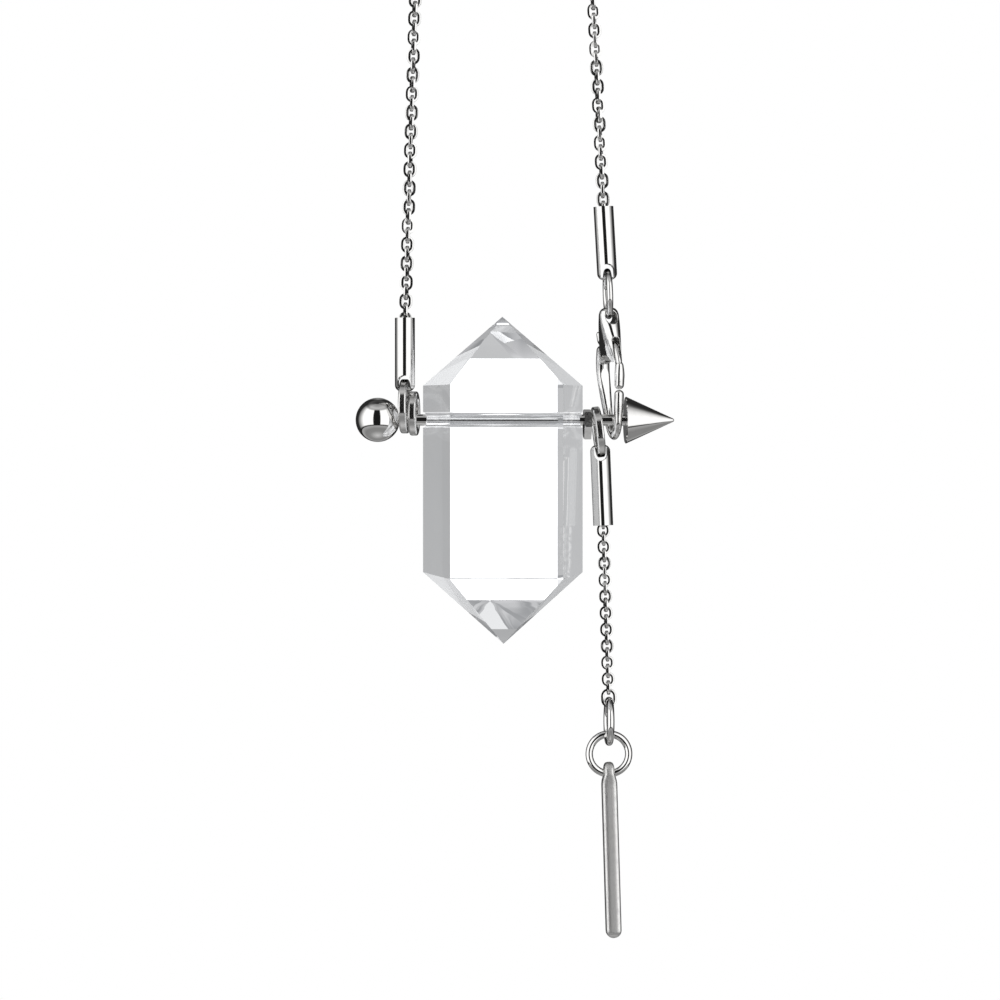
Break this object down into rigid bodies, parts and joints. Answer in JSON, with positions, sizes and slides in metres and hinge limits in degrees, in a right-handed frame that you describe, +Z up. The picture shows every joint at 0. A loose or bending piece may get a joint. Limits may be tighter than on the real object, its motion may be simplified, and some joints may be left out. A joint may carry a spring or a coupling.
{
  "type": "crystal point pendant on a chain",
  "caption": "Double-ended clear crystal point on a steel barbell with ball and spike ends, hung from a fine cable chain by a jump ring and a lobster clasp, with a bar drop on a chain beside it.",
  "frame": {"origin": "where the necklace hangs on a peg: the underside of the chain's topmost links, midway between its two strands", "axes": "+Z up, +X to the right of the pendant as the viewer sees it, along the barbell, -Y towards the viewer"},
  "size_m": [0.0447, 0.015, 0.3574],
  "materials": {
    "steel": "high polish",
    "crystal": "polished facets"
  },
  "bodies": {
    "necklace": {"bar": "steel", "ball_end": "steel", "spike_end": "steel", "hex_nut": "steel", "left_ring_a": "steel", "left_ring_b": "steel", "left_end_tube": "steel", "neck_chain": "steel", "right_end_tube": "steel", "clasp_ring": "steel", "clasp_body": "steel", "clasp_pin": "steel", "drop_hanger_ring": "steel", "drop_tube": "steel", "drop_chain": "steel", "drop_link_ring": "steel", "drop_ring": "steel", "drop_bar": "steel"},
    "crystal": {"crystal": "crystal"},
    "clasp_lever": {"clasp_lever": "steel"}
  },
  "joints": [
    {"name": "crystal_swing", "type": "hinge", "parent": "necklace", "child": "crystal", "pos_m": [0, 0, -0.2831], "axis": [1, 0, 0], "continuous": true},
    {"name": "clasp_lever", "type": "hinge", "parent": "necklace", "child": "clasp_lever", "pos_m": [0.01732, -0.00115, -0.27259], "axis": [0.9553, 0.2924, 0.0434], "range_deg": [0, 28], "stiffness_Nm_per_rad": 0.002, "springref_deg": -11.46}
  ]
}
